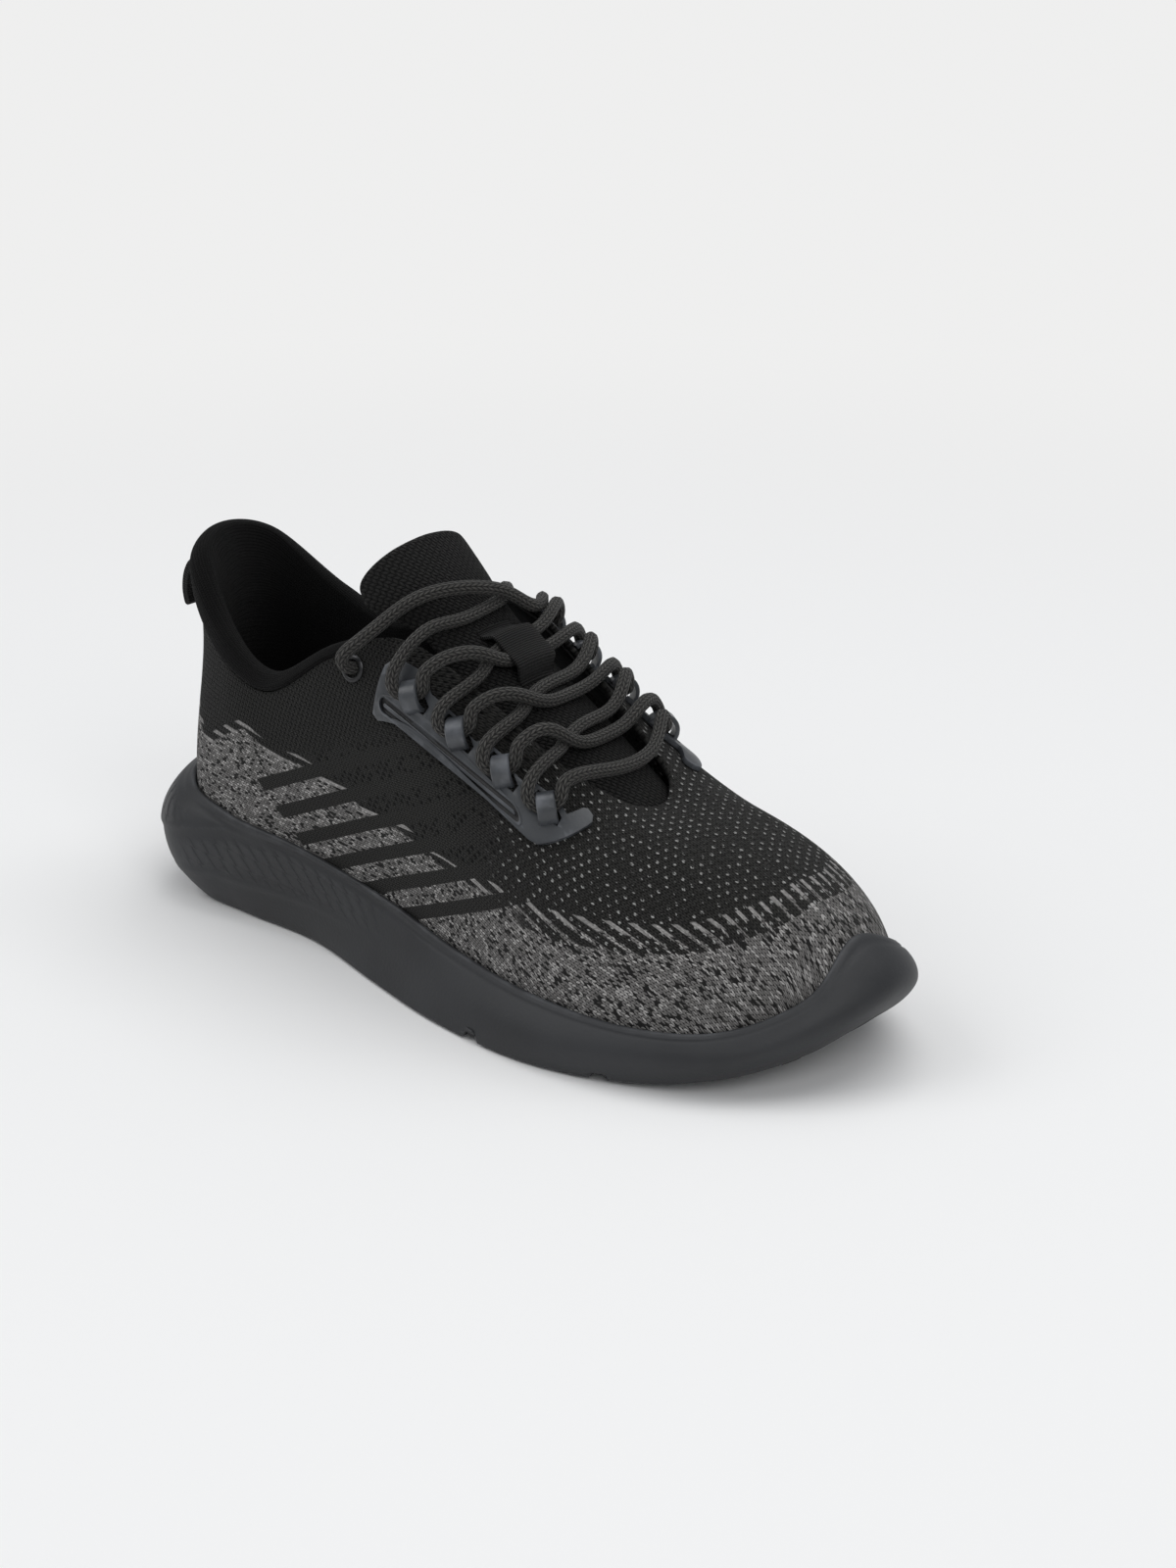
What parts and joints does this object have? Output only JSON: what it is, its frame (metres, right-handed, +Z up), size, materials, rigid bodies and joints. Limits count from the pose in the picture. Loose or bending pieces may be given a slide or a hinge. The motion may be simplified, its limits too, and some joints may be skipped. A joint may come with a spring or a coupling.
{
  "type": "running shoe",
  "caption": "Low-cut knit running shoe for the right foot, laced through moulded side plates, on a one-piece foam sole with rubber pads.",
  "frame": {"origin": "on the floor, at the middle of the shoe's length and width", "axes": "+X towards the toe, +Y towards the inner side of the foot, +Z up"},
  "size_m": [0.2924, 0.1138, 0.141],
  "materials": {
    "midsole_foam": "matte moulded foam, anthracite",
    "outsole_rubber": "matte",
    "knit": "black engineered knit with grey melange toe and heel bands",
    "tongue_knit": "coarse basket knit, black",
    "lining": "fine brushed knit, black",
    "foam": "open-cell foam, dark grey",
    "stiffener": "fibre-reinforced sheet",
    "board": "stitched non-woven board",
    "plate": "satin moulded polyurethane, blue grey",
    "eyelet": "satin black",
    "lace": "braided cord, near black",
    "tape": "ribbed webbing, black"
  },
  "bodies": {
    "shoe": {"midsole": "midsole_foam", "outsole_heel_lateral": "outsole_rubber", "outsole_heel_medial": "outsole_rubber", "outsole_shank_lateral": "outsole_rubber", "outsole_ball_lateral": "outsole_rubber", "outsole_ball_medial": "outsole_rubber", "outsole_toe": "outsole_rubber", "strobel_board": "board", "knit_upper": "knit", "heel_counter": "stiffener", "toe_puff": "stiffener", "collar_foam": "foam", "collar_lining": "lining", "eyestay_lateral": "board", "eyestay_medial": "board", "tongue_face": "tongue_knit", "tongue_pad": "lining", "tongue_loop": "tape", "lace_plate_lateral": "plate", "lace_plate_medial": "plate", "eyelet_lateral": "eyelet", "eyelet_medial": "eyelet", "eyelet_washer_lateral": "eyelet", "eyelet_washer_medial": "eyelet", "lace": "lace", "aglet_medial": "eyelet", "aglet_lateral": "eyelet"},
    "tongue_flap": {"tongue_flap_face": "tongue_knit", "tongue_flap_pad": "lining"},
    "pull_tab": {"heel_pull_tab": "tape"},
    "insole": {"sockliner": "lining"}
  },
  "joints": [
    {"name": "tongue_flap_fold", "type": "hinge", "parent": "shoe", "child": "tongue_flap", "pos_m": [-0.0233, 0, 0.129], "axis": [0, 1, 0], "range_deg": [0, 40]},
    {"name": "pull_tab_swing", "type": "hinge", "parent": "shoe", "child": "pull_tab", "pos_m": [-0.1348, 0.0037, 0.113], "axis": [0, 1, 0], "range_deg": [0, 90]},
    {"name": "insole_lift", "type": "hinge", "parent": "shoe", "child": "insole", "pos_m": [0.1307, 0, 0.0193], "axis": [0, 1, 0], "range_deg": [0, 4]}
  ]
}
